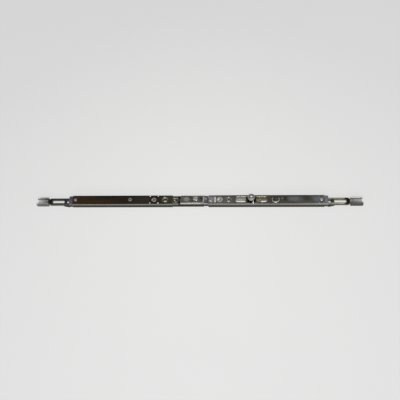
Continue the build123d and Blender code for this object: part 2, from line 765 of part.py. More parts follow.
# Coupling claws: a floor with cross teeth between two walls, the near wall with a longer nose
claw_far = claw_start + claw_length
tooth_count = int((claw_length - tongue_length) / tooth_pitch)
teeth_start = claw_far - tooth_count * tooth_pitch
for name, side in (("left", -1), ("right", 1)):
    with BuildPart() as coupling_claw:
        with BuildSketch(Plane.XY.offset(claw_lift)):
            with Locations((side * (claw_start + claw_far) / 2, 0)):
                Rectangle(claw_length, claw_width)
            for rivet_y in (-claw_rivet_spread, claw_rivet_spread):
                with Locations((side * claw_rivet_x, rivet_y)):
                    Circle(claw_rivet_radius + seat_gap, mode=Mode.SUBTRACT)
        extrude(amount=rod_bottom - claw_lift)
        for near, reach in ((1, claw_far), (-1, claw_far + claw_nose)):
            wall_y = near * (claw_width - claw_wall) / 2
            with BuildSketch(upright_plane(0, wall_y)):
                with Locations((side * (claw_start + reach) / 2, (claw_lift + claw_top) / 2)):
                    RectangleRounded(reach - claw_start, claw_top - claw_lift, claw_round)
            extrude(amount=claw_wall / 2, both=True)
        with BuildSketch(upright_plane(0)):
            for tooth in range(tooth_count):
                tooth_x = teeth_start + tooth * tooth_pitch
                with BuildLine():
                    Polyline(
                        (side * tooth_x, rod_bottom),
                        (side * (tooth_x + tooth_pitch / 2), rod_bottom + tooth_height),
                        (side * (tooth_x + tooth_pitch), rod_bottom),
                        close=True,
                    )
                make_face()
        extrude(amount=claw_inner_width / 2, both=True)
    coupling_claw.part.label = "coupling_claw_" + name
    export_step(coupling_claw.part, f"parts/coupling_claw_{name}.step")

# Claw rivets, two at each end
with BuildPart() as claw_rivets:
    for side in (-1, 1):
        for rivet_y in (-claw_rivet_spread, claw_rivet_spread):
            turn(side * claw_rivet_x, y=rivet_y, points=[
                (0, claw_lift),
                (claw_rivet_radius, claw_lift),
                (claw_rivet_radius, rod_top),
                (claw_rivet_head_radius, rod_top),
                (claw_rivet_radius, rod_top + claw_rivet_head_height),
                (0, rod_top + claw_rivet_head_height),
            ])
claw_rivets.part.label = "claw_rivets"
export_step(claw_rivets.part, "parts/claw_rivets.step")

# Cam pin, riveted under the rod and over the roller
pin_head_level = cam_top - cam_pin_head_height
with BuildPart() as cam_pin:
    turn(cam_x, points=[
        (0, rod_bottom - cam_pin_tail_height),
        (cam_pin_radius, rod_bottom - cam_pin_tail_height),
        (cam_pin_tail_radius, rod_bottom),
        (cam_pin_radius, rod_bottom),
        (cam_pin_radius, pin_head_level),
        (cam_pin_head_radius, pin_head_level),
        (cam_pin_radius, cam_top),
        (0, cam_top),
    ])
cam_pin.part.label = "cam_pin"
export_step(cam_pin.part, "parts/cam_pin.step")

# Cam slider, a disc in the cam slot with a flange over the face
slider_radius = cam_slot_width / 2 - run_gap
with BuildPart() as cam_slider:
    turn(cam_x, points=[
        (cam_pin_radius + seat_gap, rod_top),
        (slider_radius, rod_top),
        (slider_radius, flange_bottom),
        (flange_radius, flange_bottom),
        (flange_radius, flange_top - flange_round),
        (flange_radius - flange_round, flange_top),
        (cam_pin_radius + seat_gap, flange_top),
    ])
cam_slider.part.label = "cam_slider"
export_step(cam_slider.part, "parts/cam_slider.step")

# Cam roller, the mushroom head that turns on the pin
neck_top = roller_bottom + roller_neck_height
rim_bottom = neck_top + roller_cone_height
roller_top = cam_top - pin_gap
bore_radius = cam_pin_radius + pin_gap
head_bore_radius = cam_pin_head_radius + pin_gap
head_bore_level = pin_head_level - pin_gap
with BuildPart() as cam_roller:
    with BuildSketch(upright_plane(cam_x)):
        with BuildLine():
            Polyline(
                (roller_head_radius, roller_top - roller_crown),
                (roller_head_radius, rim_bottom),
                (roller_neck_radius, neck_top),
                (roller_neck_radius, roller_bottom),
                (bore_radius, roller_bottom),
                (bore_radius, head_bore_level),
                (head_bore_radius, head_bore_level),
                (head_bore_radius, roller_top),
                (roller_head_radius - roller_crown, roller_top),
            )
            RadiusArc(
                (roller_head_radius - roller_crown, roller_top),
                (roller_head_radius, roller_top - roller_crown),
                roller_crown,
            )
        make_face()
    revolve(axis=upright_axis(cam_x))
cam_roller.part.label = "cam_roller"
export_step(cam_roller.part, "parts/cam_roller.step")
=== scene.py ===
"""Looks of a window espagnolette: plated faceplate, rod, claws, mushroom cam and rocker lever.

Every piece stands for one node of the frame and goes where the frame says.
Lengths are metres and angles are radians, apart from the touches and the cam's sizes, which
are given in millimetres.
X runs along the faceplate, Y across it and Z out of its face.
"""

import json
import logging
import math
from dataclasses import dataclass, field, replace
from enum import Enum
from typing import Any, Sequence

import bmesh
import bpy
from mathutils import Matrix, Vector

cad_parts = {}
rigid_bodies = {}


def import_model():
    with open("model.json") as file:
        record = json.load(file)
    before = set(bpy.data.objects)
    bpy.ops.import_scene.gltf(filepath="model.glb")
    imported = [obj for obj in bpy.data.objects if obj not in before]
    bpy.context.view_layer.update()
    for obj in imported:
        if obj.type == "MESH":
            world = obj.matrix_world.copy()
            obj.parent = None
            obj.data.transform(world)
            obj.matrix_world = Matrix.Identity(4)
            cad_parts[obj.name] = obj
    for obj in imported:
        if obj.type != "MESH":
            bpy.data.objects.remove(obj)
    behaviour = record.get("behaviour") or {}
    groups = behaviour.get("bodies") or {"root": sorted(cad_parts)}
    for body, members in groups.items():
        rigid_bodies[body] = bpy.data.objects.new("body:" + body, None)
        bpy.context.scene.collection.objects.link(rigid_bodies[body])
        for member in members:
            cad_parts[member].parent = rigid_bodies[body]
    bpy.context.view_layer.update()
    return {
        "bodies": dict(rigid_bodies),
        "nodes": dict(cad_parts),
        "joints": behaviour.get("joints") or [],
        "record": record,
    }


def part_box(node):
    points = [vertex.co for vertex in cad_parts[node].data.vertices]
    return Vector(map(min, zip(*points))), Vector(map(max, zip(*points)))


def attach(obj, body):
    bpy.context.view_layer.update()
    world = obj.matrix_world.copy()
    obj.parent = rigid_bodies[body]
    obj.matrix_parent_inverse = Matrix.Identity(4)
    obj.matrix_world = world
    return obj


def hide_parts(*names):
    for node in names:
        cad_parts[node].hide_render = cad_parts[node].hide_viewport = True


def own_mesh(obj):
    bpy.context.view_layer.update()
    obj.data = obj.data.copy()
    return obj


MM = 0.001
SHADER_SAMPLES = 6
HOLE_BLUR = 0.1
LOG = logging.getLogger("espagnolette")
Outline = Sequence[tuple[float, float]]


class Body(Enum):
    """The bodies that move against each other."""

    RAIL = "rail"
    ROD = "rod"
    CAM = "cam"
    ROCKER = "rocker"


class Grain(Enum):
    """How the fine lines of a finish run, as stretches of the pattern along X, Y and Z."""

    ALONG = (40.0, 1800.0, 1800.0)
    NONE = (900.0, 900.0, 900.0)


class Fineness(Enum):
    """How fine a noise is, in features per metre."""

    STRETCHED = 1.0
    PAPER = 9.0
    CLOUD = 55.0
    PATCH = 160.0
    SMUDGE = 190.0
    TINT = 240.0
    MOULD_CLOUD = 300.0
    TURNED_CLOUD = 420.0
    MOTTLE = 430.0
    CHIP = 900.0
    FRAY = 1100.0
    SCUFF = 1200.0
    CAST_SKIN = 1300.0
    PIT = 1500.0
    DUST = 2600.0


class Rounding(Enum):
    """How far the edges of a piece are rounded."""

    SPRING = 0.05 * MM
    SMALL = 0.06 * MM
    PRESSED = 0.08 * MM
    ROLLED = 0.10 * MM
    CAST = 0.12 * MM
    COINED = 0.14 * MM


def linear(code: str) -> tuple[float, float, float, float]:
    """Turn a colour code into linear values.

    Args:
        code: Six hexadecimal digits, red first.

    Returns:
        Red, green, blue and alpha, each from 0 to 1.
    """
    parts = [int(code[i:i + 2], 16) / 255 for i in (0, 2, 4)]
    values = [((c + 0.055) / 1.055) ** 2.4 if c > 0.04045 else c / 12.92 for c in parts]
    return values[0], values[1], values[2], 1.0


def quarter_turn(steps: int) -> list[float]:
    """Divide a right angle into even steps, with both ends."""
    return [math.pi / 2 * i / steps for i in range(steps + 1)]


def settled(mesh: bmesh.types.BMesh, name: str) -> bpy.types.Mesh:
    """Turn a bmesh into a named mesh and free it."""
    data = bpy.data.meshes.new(name)
    mesh.to_mesh(data)
    mesh.free()
    return data


def added(name: str, data: Any) -> bpy.types.Object:
    """Add a mesh, a light or a camera to the scene as a named object."""
    thing = bpy.data.objects.new(name, data)
    bpy.context.scene.collection.objects.link(thing)
    return thing


class Graph:
    """Builds the nodes of one material."""

    def __init__(self, name: str) -> None:
        """Start an empty material.

        Args:
            name: The material's name.
        """
        self.material = bpy.data.materials.new(name)
        self.material.use_nodes = True
        self.tree = self.material.node_tree
        self.tree.nodes.clear()
        self.shader = self.tree.nodes.new("ShaderNodeBsdfPrincipled")
        self.output = self.tree.nodes.new("ShaderNodeOutputMaterial")
        self.tree.links.new(self.shader.outputs[0], self.output.inputs[0])
        self.place = self.tree.nodes.new("ShaderNodeTexCoord").outputs["Object"]
        apart = self.tree.nodes.new("ShaderNodeSeparateXYZ")
        self.tree.links.new(self.place, apart.inputs[0])
        self.x, self.y, self.z = apart.outputs

    def add(self, kind: str, inputs: dict[Any, Any], output: Any = 0, **settings: Any) -> Any:
        """Add a node and fill its sockets.

        Args:
            kind: The node's type without its leading word.
            inputs: Socket name or number to a value or to another node's output.
            output: Name or number of the output that is wanted.
            settings: Attributes of the node.

        Returns:
            The wanted output socket.
        """
        node = self.tree.nodes.new("ShaderNode" + kind)
        for name, value in settings.items():
            setattr(node, name, value)
        for name, value in inputs.items():
            self.fill(node.inputs[name], value)
        return node.outputs[output]

    def fill(self, socket: Any, value: Any) -> None:
        """Link an output to a socket, or set the socket's own value."""
        if isinstance(value, bpy.types.NodeSocket):
            self.tree.links.new(value, socket)
        else:
            socket.default_value = value

    def noise(
        self, fineness: Fineness, detail: float = 3.0, stretch: Sequence[float] | None = None
    ) -> Any:
        """Add a noise on the piece's own coordinates.

        Args:
            fineness: How fine it is.
            detail: Number of finer layers.
            stretch: Scale along X, Y and Z, or None for an even noise.

        Returns:
            The noise's factor output.
        """
        vector = self.place
        if stretch is not None:
            vector = self.add("Mapping", {"Vector": self.place, "Scale": stretch})
        inputs = {"Vector": vector, "Scale": fineness.value, "Detail": detail}
        return self.add("TexNoise", inputs)

    def spread(
        self, value: Any, low: float, high: float, to_low: float = 0.0, to_high: float = 1.0
    ) -> Any:
        """Map a value from one range to another and clamp it."""
        return self.add("MapRange", {0: value, 1: low, 2: high, 3: to_low, 4: to_high})

    def maths(self, operation: str, first: Any, second: Any = 0.0) -> Any:
        """Combine two values, or change the first alone."""
        return self.add("Math", {0: first, 1: second}, operation=operation)

    def product(self, first: Any, second: Any) -> Any:
        """Multiply two values."""
        return self.maths("MULTIPLY", first, second)

    def magnitude(self, value: Any) -> Any:
        """Drop a value's sign."""
        return self.maths("ABSOLUTE", value)

    def mix(self, share: Any, first: Any, second: Any) -> Any:
        """Blend two colours by a share."""
        return self.add("Mix", {0: share, 6: first, 7: second}, output=2, data_type="RGBA")

    def ramp(self, value: Any, stops: Sequence[tuple[float, str]]) -> Any:
        """Colour a value by a few stops.

        Args:
            value: What is coloured.
            stops: Position from 0 to 1, and colour code, in order.

        Returns:
            The colour output.
        """
        node = self.tree.nodes.new("ShaderNodeValToRGB")
        self.fill(node.inputs[0], value)
        elements = node.color_ramp.elements
        while len(elements) < len(stops):
            elements.new(1.0)
        for element, (position, code) in zip(elements, stops):
            element.position = position
            element.color = linear(code)
        return node.outputs[0]

    def edges(self, radius: float) -> Any:
        """Find the edges of a piece, as a value from 0 on flats to 1 on sharp edges."""
        rounded = self.add("Bevel", {"Radius": radius}, samples=SHADER_SAMPLES)
        plain = self.add("NewGeometry", {}, output="Normal")
        sides = {0: rounded, 1: plain}
        along = self.add("VectorMath", sides, output="Value", operation="DOT_PRODUCT")
        return self.spread(along, 0.995, 0.86)

    def hollows(self, distance: float) -> Any:
        """Find the recesses of a piece, as a value from 0 in the open to 1 in deep corners."""
        open_share = self.add(
            "AmbientOcclusion",
            {"Distance": distance},
            output="AO",
            samples=SHADER_SAMPLES,
            only_local=True,
        )
        return self.spread(open_share, 0.85, 0.25)

    def upright(self) -> Any:
        """Tell how much a face looks up, from 0 on sides and undersides to 1 on a flat top."""
        normal = self.add("NewGeometry", {}, output="Normal")
        return self.spread(self.add("SeparateXYZ", {0: normal}, output="Z"), 0.0, 1.0)

    def relief(self, height: Any, strength: float, distance: float, under: Any = None) -> Any:
        """Add a bump, on top of another one if that is given."""
        inputs = {"Strength": strength, "Distance": distance, "Height": height}
        if under is not None:
            inputs["Normal"] = under
        return self.add("Bump", inputs)

    def finish(self, **sockets: Any) -> bpy.types.Material:
        """Fill the shader's sockets and hand the material over.

        Args:
            sockets: Socket name, with underscores for spaces, to value or output.

        Returns:
            The finished material.
        """
        for name, value in sockets.items():
            self.fill(self.shader.inputs[name.replace("_", " ")], value)
        return self.material


@dataclass(frozen=True)
class Touch:
    """A place that is rubbed bright, stained or left dull, or that holds a painted highlight or
    painted shade.

    Places and sizes are millimetres. The core is where its outline starts to fade, and the
    hole leaves a ring; both are shares of its half sizes.
    """

    x: float
    y: float
    half_x: float
    half_y: float
    tone: str
    share: float
    core: float = 0.6
    hole: float = 0.0
    square: bool = False

    def laid_on(self, graph: Graph, colour: Any, ragged: Any) -> Any:
        """Lay the place over a colour.

        Args:
            graph: The material being built.
            colour: What it is laid on.
            ragged: A noise that frays its outline.

        Returns:
            The new colour output.
        """
        offset_x = graph.maths("SUBTRACT", graph.x, self.x * MM)
        offset_y = graph.maths("SUBTRACT", graph.y, self.y * MM)
        along = graph.maths("DIVIDE", offset_x, self.half_x * MM)
        across = graph.maths("DIVIDE", offset_y, self.half_y * MM)
        if self.square:
            far = graph.maths("MAXIMUM", graph.magnitude(along), graph.magnitude(across))
        else:
            squares = [graph.product(value, value) for value in (along, across)]
            far = graph.maths("SQRT", graph.maths("ADD", *squares))
        frayed = graph.maths("ADD", far, ragged)
        inside = graph.spread(frayed, 1.0, self.core, 0.0, self.share)
        if self.hole:
            inside = graph.product(inside, graph.spread(far, self.hole - HOLE_BLUR, self.hole))
        return graph.mix(inside, colour, linear(self.tone))


@dataclass(frozen=True)
class PlatedSteel:
    """A zinc plated steel with handling marks, worn edges and painted shade in its corners.

    The near fold gets a painted highlight. What lies under a step gets painted shade, and so do
    the insides of the sheared sides, whose outsides have a tone of their own. Touches are laid on
    the plating, top touches over everything but the marks and the wear.
    """

    name: str
    tone: str
    shade: str
    worn: str = "b9b7b0"
    # Colour of the painted shade that ambient occlusion lays in recesses.
    recess_shade: str = "1a1814"
    # Colour of the painted shade under a step and on the inner sides.
    painted_shade_black: str = "13120f"
    roughness: float = 0.34
    metallic: float = 0.72
    grain: Grain = Grain.ALONG
    grain_depth: float = 0.006 * MM
    pit_depth: float = 0.012 * MM
    streaks: float = 0.25
    mottling: float = 0.30
    flecks: float = 0.15
    mark_gain: float = 2.4
    mark_limit: float = 0.85
    edge_reach: float = 0.35 * MM
    wear: float = 0.75
    far_wear_in_shade: float = 0.75
    far_y: tuple[float, float] = (3.0 * MM, 6.5 * MM)
    recess_shade_reach: float = 0.9 * MM
    recess_shade_share: float = 0.45
    stops: tuple[tuple[float, str], ...] = ()
    stops_shade: float = 0.22
    reach: float = 200 * MM
    touches: tuple[Touch, ...] = ()
    top_touches: tuple[Touch, ...] = ()
    blur: float = 0.3 * MM
    side_tone: str = "8b897f"
    side_share: float = 0.0
    outer_y: float = 0.0
    outer_blur: float = 0.4 * MM
    inner_z: float = 0.0
    inner_shade_share: float = 0.6
    fold_y: float = 0.0
    fold_reach: float = 1.1 * MM
    fold_highlight_share: float = 0.0
    fold_highlight_tone: str = "b9b7b0"
    band_z: tuple[float, float] = (0.0, 0.0)
    step_z: float = 0.0
    step_blur: float = 0.15 * MM
    step_shade_share: float = 0.97

    def colour(self, graph: Graph) -> Any:
        """Give the plating's colour before handling.

        Args:
            graph: The material being built.

        Returns:
            A colour output.
        """
        cloud = graph.spread(graph.noise(Fineness.CLOUD, 4.0), 0.35, 0.68)
        if not self.stops:
            return graph.mix(cloud, linear(self.tone), linear(self.shade))
        tinted = graph.ramp(graph.spread(graph.x, -self.reach, self.reach), self.stops)
        darker = graph.mix(self.stops_shade, tinted, linear(self.shade))
        return graph.mix(cloud, tinted, darker)

    def _sided(self, graph: Graph, colour: Any, upright: Any) -> Any:
        """Tone the sheared sides outside, and paint shade on them inside."""
        side = graph.spread(upright, 0.5, 0.2, 0.0, self.side_share)
        apart = graph.magnitude(graph.y)
        outer = graph.spread(apart, self.outer_y - self.outer_blur, self.outer_y)
        # Painted shade on the inner sides.
        inner = graph.product(side, graph.maths("SUBTRACT", self.inner_shade_share, outer))
        if self.inner_z:
            level = graph.spread(graph.z, self.inner_z - self.blur, self.inner_z + self.blur)
            inner = graph.product(inner, level)
        toned = graph.mix(graph.product(side, outer), colour, linear(self.side_tone))
        return graph.mix(inner, toned, linear(self.painted_shade_black))

    def _fold_highlighted(self, graph: Graph, colour: Any, upright: Any) -> Any:
        """Paint a highlight on the near fold, on its band of levels or else where it looks up."""
        end = self.fold_y + self.fold_reach
        core = self.fold_y + self.fold_reach / 2
        near = graph.spread(graph.y, end, core, 0.0, self.fold_highlight_share)
        low, high = self.band_z
        if high:
            above = graph.spread(graph.z, low - self.blur, low)
            below = graph.spread(graph.z, high + self.blur, high)
            band = graph.product(above, below)
        else:
            band = graph.spread(upright, 0.05, 0.35)
        patches = graph.spread(graph.noise(Fineness.PATCH, 4.0), 0.2, 0.5, 0.85, 1.0)
        # Painted highlight on the near fold.
        fold_highlight = graph.product(graph.product(near, band), patches)
        return graph.mix(fold_highlight, colour, linear(self.fold_highlight_tone))

    def handled_with_painted_light(self, graph: Graph, base: Any) -> Any:
        """Add touches, sides, the fold's painted highlight and the painted shade under a step to a
        colour.

        Args:
            graph: The material being built.
            base: The plating's colour.

        Returns:
            A colour output.
        """
        colour = base
        upright = graph.upright()
        if self.touches:
            ragged = graph.spread(graph.noise(Fineness.FRAY), 0.2, 0.8, -0.2, 0.2)
            for touch in self.touches:
                colour = touch.laid_on(graph, colour, ragged)
        if self.side_share:
            colour = self._sided(graph, colour, upright)
        if self.fold_highlight_share:
            colour = self._fold_highlighted(graph, colour, upright)
        # Painted shade under the step.
        if self.step_z:
            above = self.step_z + self.step_blur
            below = self.step_z - self.step_blur
            under = graph.spread(graph.z, above, below, 0.0, self.step_shade_share)
            colour = graph.mix(under, colour, linear(self.painted_shade_black))
        for touch in self.top_touches:
            colour = touch.laid_on(graph, colour, 0.0)
        return colour

    def _marked(self, graph: Graph, plated: Any, lines: Any) -> Any:
        """Add streaks, mottling, flecks and worn edges to a colour, with less edge brightening on
        the far side, which is painted shade.
        """
        scaled = {0: plated, "Scale": self.mark_gain}
        brighter = graph.add("VectorMath", scaled, operation="SCALE")
        limited = {0: brighter, 1: (self.mark_limit,) * 3}
        lighter = graph.add("VectorMath", limited, operation="MINIMUM")
        streaks = graph.spread(lines, 0.38, 0.66, 0.0, self.streaks)
        blots = graph.spread(graph.noise(Fineness.MOTTLE, 4.0), 0.42, 0.7, 0.0, self.mottling)
        mottled = graph.mix(graph.maths("ADD", streaks, blots), plated, lighter)
        dust = graph.spread(graph.noise(Fineness.DUST, 2.0), 0.66, 0.74)
        flecked = graph.mix(graph.product(dust, self.flecks), mottled, linear(self.worn))
        chips = graph.spread(graph.noise(Fineness.CHIP), 0.3, 0.55)
        edge = graph.product(graph.edges(self.edge_reach), chips)
        # Worn edges fade towards the far side: painted shade.
        wear = graph.spread(graph.y, *self.far_y, self.wear, self.far_wear_in_shade)
        return graph.mix(graph.product(edge, wear), flecked, linear(self.worn))

    def material(self) -> bpy.types.Material:
        """Build the material.

        Returns:
            The finished material.
        """
        graph = Graph(self.name)
        lines = graph.noise(Fineness.STRETCHED, 4.0, stretch=self.grain.value)
        plated = self.handled_with_painted_light(graph, self.colour(graph))
        rubbed = self._marked(graph, plated, lines)
        # Recesses darkened by ambient occlusion: painted shade.
        recess_shade_mask = graph.product(graph.hollows(self.recess_shade_reach), self.recess_shade_share)
        recess_shaded = graph.mix(recess_shade_mask, rubbed, linear(self.recess_shade))
        smudges = graph.noise(Fineness.SMUDGE, 5.0)
        rough = graph.spread(smudges, 0.3, 0.7, self.roughness - 0.07, self.roughness + 0.12)
        ground = graph.relief(lines, 0.5, self.grain_depth)
        pits = graph.noise(Fineness.PIT, 4.0)
        bump = graph.relief(pits, 0.35, self.pit_depth, under=ground)
        return graph.finish(Base_Color=recess_shaded, Metallic=self.metallic, Roughness=rough, Normal=bump)


@dataclass(frozen=True)
class TurnedSteel:
    """A turned part, with fine rings about its own upright axis on the middle line.

    The rings' phase grows by one radian over ring_radian, and wave_factor is the texture's own.
    """

    name: str
    tone: str
    shade: str
    axis_x: float
    worn: str = "d5d3cc"
    recess_shade: str = "24211c"
    roughness: float = 0.34
    metallic: float = 1.0
    ring_radian: float = 0.16 * MM
    ring_depth: float = 0.008 * MM
    ring_share: float = 0.16
    wave_factor: int = 20
    wear: float = 0.7
    edge_reach: float = 0.3 * MM
    recess_shade_reach: float = 1.2 * MM
    recess_shade_share: float = 0.75
    touches: tuple[Touch, ...] = ()

    def _rings(self, graph: Graph) -> Any:
        """Turn fine rings about the axis."""
        moved = {"Vector": graph.place, "Location": (-self.axis_x, 0.0, 0.0)}
        inputs = {
            "Vector": graph.add("Mapping", moved),
            "Scale": 1 / (self.wave_factor * self.ring_radian),
            "Distortion": 1.2,
            "Detail": 2.0,
        }
        return graph.add("TexWave", inputs, output=1, wave_type="RINGS", rings_direction="Z")

    def material(self) -> bpy.types.Material:
        """Build the material.

        Returns:
            The finished material.
        """
        graph = Graph(self.name)
        rings = self._rings(graph)
        cloud = graph.spread(graph.noise(Fineness.TURNED_CLOUD, 4.0), 0.35, 0.65)
        base = graph.mix(cloud, linear(self.tone), linear(self.shade))
        for touch in self.touches:
            base = touch.laid_on(graph, base, 0.0)
        ringed = graph.mix(graph.product(rings, self.ring_share), base, linear(self.worn))
        edge = graph.product(graph.edges(self.edge_reach), self.wear)
        rubbed = graph.mix(edge, ringed, linear(self.worn))
        # Recesses darkened by ambient occlusion: painted shade.
        recess_shade_mask = graph.product(graph.hollows(self.recess_shade_reach), self.recess_shade_share)
        recess_shaded = graph.mix(recess_shade_mask, rubbed, linear(self.recess_shade))
        rough = graph.spread(cloud, 0.0, 1.0, self.roughness - 0.05, self.roughness + 0.10)
        bump = graph.relief(rings, 0.35, self.ring_depth)
        return graph.finish(Base_Color=recess_shaded, Metallic=self.metallic, Roughness=rough, Normal=bump)


@dataclass(frozen=True)
class CastZinc:
    """A die-cast zinc with a fine skin, a faint tint, a greyer near side and painted shade at its
    foot.
    """

    name: str
    tone: str
    shade: str
    near: str
    worn: str = "b4b2b8"
    recess_shade: str = "1b1a1d"
    foot: str = "17171a"
    roughness: float = 0.42
    metallic: float = 0.6
    near_y: tuple[float, float] = (2.5 * MM, -3.0 * MM)
    near_share: float = 0.8
    foot_z: tuple[float, float] = (6.0 * MM, 4.5 * MM)
    foot_shade_share: float = 0.9
    wear: float = 0.6
    edge_reach: float = 0.4 * MM
    recess_shade_reach: float = 2.0 * MM
    recess_shade_share: float = 0.8
    skin_depth: float = 0.03 * MM

    def material(self) -> bpy.types.Material:
        """Build the material.

        Returns:
            The finished material.
        """
        graph = Graph(self.name)
        tint = graph.spread(graph.noise(Fineness.TINT), 0.36, 0.64)
        skinned = graph.mix(tint, linear(self.tone), linear(self.shade))
        near = graph.spread(graph.y, *self.near_y, 0.0, self.near_share)
        greyed = graph.mix(near, skinned, linear(self.near))
        # Painted shade at the foot.
        low = graph.spread(graph.z, *self.foot_z, 0.0, self.foot_shade_share)
        base = graph.mix(low, greyed, linear(self.foot))
        edge = graph.product(graph.edges(self.edge_reach), self.wear)
        rubbed = graph.mix(edge, base, linear(self.worn))
        # Recesses darkened by ambient occlusion: painted shade.
        recess_shade_mask = graph.product(graph.hollows(self.recess_shade_reach), self.recess_shade_share)
        recess_shaded = graph.mix(recess_shade_mask, rubbed, linear(self.recess_shade))
        skin = graph.noise(Fineness.CAST_SKIN, 5.0)
        rough = graph.spread(skin, 0.3, 0.7, self.roughness - 0.06, self.roughness + 0.1)
        bump = graph.relief(skin, 0.5, self.skin_depth)
        return graph.finish(Base_Color=recess_shaded, Metallic=self.metallic, Roughness=rough, Normal=bump)


@dataclass(frozen=True)
class MouldedPlastic:
    """A moulded plastic with an eroded mould skin and scuffed edges."""

    name: str
    tone: str
    shade: str
    scuffed: str
    roughness: float = 0.46
    wear: float = 0.6
    edge_reach: float = 0.3 * MM
    skin_depth: float = 0.02 * MM
    touches: tuple[Touch, ...] = ()

    def material(self) -> bpy.types.Material:
        """Build the material.

        Returns:
            The finished material.
        """
        graph = Graph(self.name)
        cloud = graph.spread(graph.noise(Fineness.MOULD_CLOUD, 4.0), 0.35, 0.65)
        base = graph.mix(cloud, linear(self.tone), linear(self.shade))
        for touch in self.touches:
            base = touch.laid_on(graph, base, 0.0)
        patches = graph.spread(graph.noise(Fineness.SCUFF), 0.35, 0.6)
        scuff = graph.product(graph.edges(self.edge_reach), patches)
        rubbed = graph.mix(graph.product(scuff, self.wear), base, linear(self.scuffed))
        skin = graph.noise(Fineness.DUST, 4.0)
        rough = graph.spread(skin, 0.3, 0.7, self.roughness - 0.05, self.roughness + 0.12)
        bump = graph.relief(skin, 0.4, self.skin_depth)
        return graph.finish(Base_Color=rubbed, Metallic=0.0, Roughness=rough, Normal=bump)


def spun(outline: Outline, steps: int, merge: float, x: float = 0.0) -> bmesh.types.BMesh:
    """Spin an outline about an upright axis on the middle line.

    Args:
        outline: Radius and level of each point.
        steps: Number of faces round the axis.
        merge: Points that are closer than this become one.
        x: Place of the axis along the faceplate.

    Returns:
        The new shape.
    """
    mesh = bmesh.new()
    verts = [mesh.verts.new((x + radius, 0.0, level)) for radius, level in outline]
    edges = [mesh.edges.new(pair) for pair in zip(verts, verts[1:])]
    bmesh.ops.spin(
        mesh,
        geom=verts + edges,
        cent=(x, 0.0, 0.0),
        axis=(0.0, 0.0, 1.0),
        angle=math.tau,
        steps=steps,
        use_merge=True,
    )
    bmesh.ops.remove_doubles(mesh, verts=mesh.verts[:], dist=merge)
    bmesh.ops.recalc_face_normals(mesh, faces=mesh.faces[:])
    return mesh


@dataclass
class Workshop:
    """Makes pieces that stand for nodes of the frame and puts them on their bodies."""

    frame: dict[str, Any]
    merge: float = 0.001 * MM
    flat_angle: float = math.radians(1.0)
    sharp_angle: float = math.radians(28.0)
    smooth_angle: float = math.radians(50.0)
    bevel_segments: int = 2
    turned_steps: int = 64
    made: list[str] = field(default_factory=list)

    def hand_over(
        self,
        mesh: bmesh.types.BMesh,
        node: str,
        body: Body,
        slot: str,
        material: bpy.types.Material,
    ) -> bpy.types.Object:
        """Turn a finished bmesh into the piece that stands for a node.

        Args:
            mesh: The shape, in the frame's coordinates. It is freed.
            node: The node that the piece stands for.
            body: What the piece rides on.
            slot: The record's material slot; not used.
            material: What the piece is made of.

        Returns:
            The new object.
        """
        for face in mesh.faces:
            face.smooth = True
        for edge in mesh.edges:
            edge.smooth = edge.calc_face_angle(0.0) < self.smooth_angle
        data = settled(mesh, node + "_mesh")
        data.materials.append(material)
        piece = added(node + "_piece", data)
        shading = piece.modifiers.new("even_shading", "WEIGHTED_NORMAL")
        shading.weight = 100
        shading.keep_sharp = True
        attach(piece, body.value)
        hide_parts(node)
        self.made.append(piece.name)
        LOG.info("%s rides on %s", piece.name, body.value)
        return piece

    def soften(self, mesh: bmesh.types.BMesh, width: float) -> None:
        """Round the sharp edges of a shape.

        Args:
            mesh: The shape.
            width: How far the rounding reaches on each side of an edge.
        """
        sharp = [e for e in mesh.edges if e.calc_face_angle(0.0) > self.sharp_angle]
        bmesh.ops.bevel(
            mesh,
            geom=sharp,
            offset=width,
            offset_type="OFFSET",
            segments=self.bevel_segments,
            profile=0.5,
            affect="EDGES",
            clamp_overlap=False,
            material=-1,
        )

    def copy_of(self, node: str, rounding: Rounding) -> bmesh.types.BMesh:
        """Copy a node's solid, with its facets merged and its edges rounded.

        Args:
            node: The node.
            rounding: How far its edges are rounded.

        Returns:
            The new shape.
        """
        mesh = bmesh.new()
        mesh.from_mesh(self.frame["nodes"][node].data)
        bmesh.ops.remove_doubles(mesh, verts=mesh.verts[:], dist=self.merge)
        bmesh.ops.dissolve_limit(
            mesh, angle_limit=self.flat_angle, verts=mesh.verts[:], edges=mesh.edges[:]
        )
        self.soften(mesh, rounding.value)
        return mesh

    def dress(
        self, node: str, rounding: Rounding, body: Body, slot: str, material: bpy.types.Material
    ) -> bpy.types.Object:
        """Make the piece that stands for a node from the node's own solid.

        Args:
            node: The node.
            rounding: How far its edges are rounded.
            body: What the piece rides on.
            slot: The record's material slot.
            material: What the piece is made of.

        Returns:
            The new object.
        """
        return self.hand_over(self.copy_of(node, rounding), node, body, slot, material)

    def turned(self, x: float, outline: Outline) -> bmesh.types.BMesh:
        """Turn a piece about an upright axis on the middle line.

        Args:
            x: Place of the axis along the faceplate.
            outline: Radius and level of each point in millimetres, from the bottom up.

        Returns:
            The new shape.
        """
        points = [(radius * MM, level * MM) for radius, level in outline]
        return spun(points, self.turned_steps, self.merge, x)


